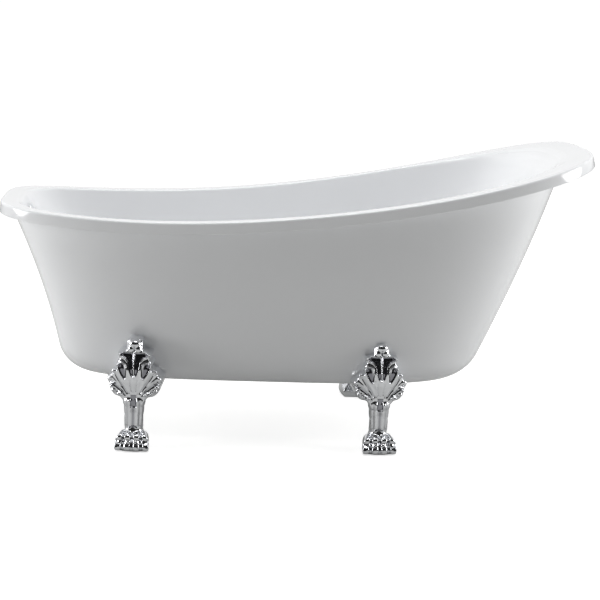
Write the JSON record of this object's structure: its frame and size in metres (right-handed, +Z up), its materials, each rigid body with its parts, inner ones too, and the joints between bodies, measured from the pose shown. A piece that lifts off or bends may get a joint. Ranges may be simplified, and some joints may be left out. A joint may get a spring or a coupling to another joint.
{
  "type": "clawfoot bathtub",
  "caption": "Free-standing white slipper bath with a rolled rim, smooth double-walled sides, ornate chrome claw feet, overflow and rising plug.",
  "frame": {"origin": "on the floor, under the middle of the bath's outline", "axes": "+Z up, +X along the bath towards the raised slipper end, -Y towards the viewer"},
  "size_m": [1.5111, 0.7232, 0.7576],
  "materials": {
    "acrylic": "high gloss white",
    "chrome": "polished chrome",
    "steel": "black powder coat",
    "board": "raw board",
    "zinc": "zinc plated",
    "rubber": "matt black",
    "brass": "turned brass",
    "pipe_plastic": "white waste fittings"
  },
  "bodies": {
    "tub": {"basin": "acrylic", "skirt": "acrylic", "low_end_front_foot": "chrome", "low_end_rear_foot": "chrome", "slipper_end_front_foot": "chrome", "slipper_end_rear_foot": "chrome", "low_end_bearer": "steel", "slipper_end_bearer": "steel", "frame_rails": "steel", "base_board": "board", "foot_bolts": "zinc", "foot_washers": "zinc", "foot_nuts": "zinc", "floor_pads": "rubber", "drain_upper_gasket": "rubber", "drain_lower_gasket": "rubber", "drain_flange": "chrome", "latch_barrel": "brass", "drain_shoe": "pipe_plastic", "tailpiece": "chrome", "slip_nut": "pipe_plastic", "overflow_plate": "chrome", "overflow_gasket": "rubber", "overflow_elbow": "pipe_plastic", "overflow_screw": "chrome", "overflow_pipe": "pipe_plastic"},
    "plug": {"plug_cap": "chrome", "plug_seal": "rubber", "plug_stem": "brass"}
  },
  "joints": [
    {"name": "plug_lift", "type": "slide", "parent": "tub", "child": "plug", "axis": [0, 0, 1], "range_m": [0, 0.009]}
  ]
}
